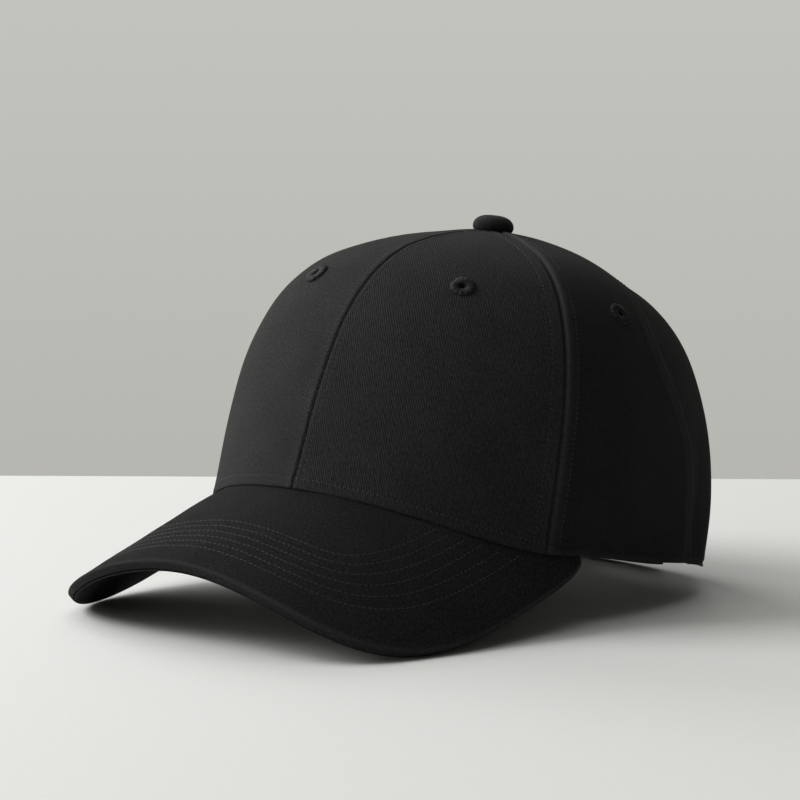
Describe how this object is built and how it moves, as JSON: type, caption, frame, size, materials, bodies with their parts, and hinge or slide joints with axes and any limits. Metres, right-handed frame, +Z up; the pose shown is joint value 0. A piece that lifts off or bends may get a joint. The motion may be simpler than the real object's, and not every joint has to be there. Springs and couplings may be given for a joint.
{
  "type": "baseball cap",
  "caption": "Structured panelled baseball cap with a pre-curved stitched visor, covered top button and a hook-and-loop closure strap across an arched rear opening.",
  "frame": {"origin": "centre of the bounding box on the surface that the cap stands on", "axes": "+Z up, -Y towards the visor, +X to the wearer's left"},
  "size_m": [0.1786, 0.2452, 0.1408],
  "materials": {
    "crown_twill": "black cotton twill, matt with a faint diagonal rib",
    "visor_twill": "black brushed cotton, matt and slightly speckled",
    "trim_tape": "black woven tape, matt",
    "sweatband_cloth": "black cotton twill, fine and soft",
    "buckram": "stiff open-weave backing cloth, dark grey",
    "thread": "black polyester embroidery thread, slight sheen",
    "visor_plastic": "moulded polyethylene board, matt",
    "hook_tape": "black moulded hooks on woven tape",
    "loop_tape": "black fuzzy loop pile",
    "button_metal": "pressed steel, plain"
  },
  "bodies": {
    "cap": {"front_panel_left": "crown_twill", "side_panel_left": "crown_twill", "rear_panel_left": "crown_twill", "front_buckram_left": "buckram", "seam_tape_side_left": "trim_tape", "seam_tape_back_left": "trim_tape", "front_panel_right": "crown_twill", "side_panel_right": "crown_twill", "rear_panel_right": "crown_twill", "front_buckram_right": "buckram", "seam_tape_side_right": "trim_tape", "seam_tape_back_right": "trim_tape", "seam_tape_front_centre": "trim_tape", "seam_tape_rear_centre": "trim_tape", "rear_opening_binding": "trim_tape", "strap_anchor": "trim_tape", "closure_tab": "trim_tape", "sweatband": "sweatband_cloth", "eyelet_front_left": "thread", "eyelet_front_right": "thread", "eyelet_side_left": "thread", "eyelet_side_right": "thread", "eyelet_rear_left": "thread", "eyelet_rear_right": "thread", "visor_top_cover": "visor_twill", "visor_under_cover": "visor_twill", "visor_board": "visor_plastic", "loop_patch": "loop_tape", "button_cover": "crown_twill", "button_shell": "button_metal", "button_rivet": "button_metal"},
    "strap": {"closure_strap": "trim_tape", "hook_patch": "hook_tape"}
  },
  "joints": [
    {"name": "strap_peel", "type": "hinge", "parent": "cap", "child": "strap", "pos_m": [-0.03146, 0.11848, 0.01292], "axis": [0.0325, 0.1122, 0.9931], "range_deg": [0, 100]}
  ]
}
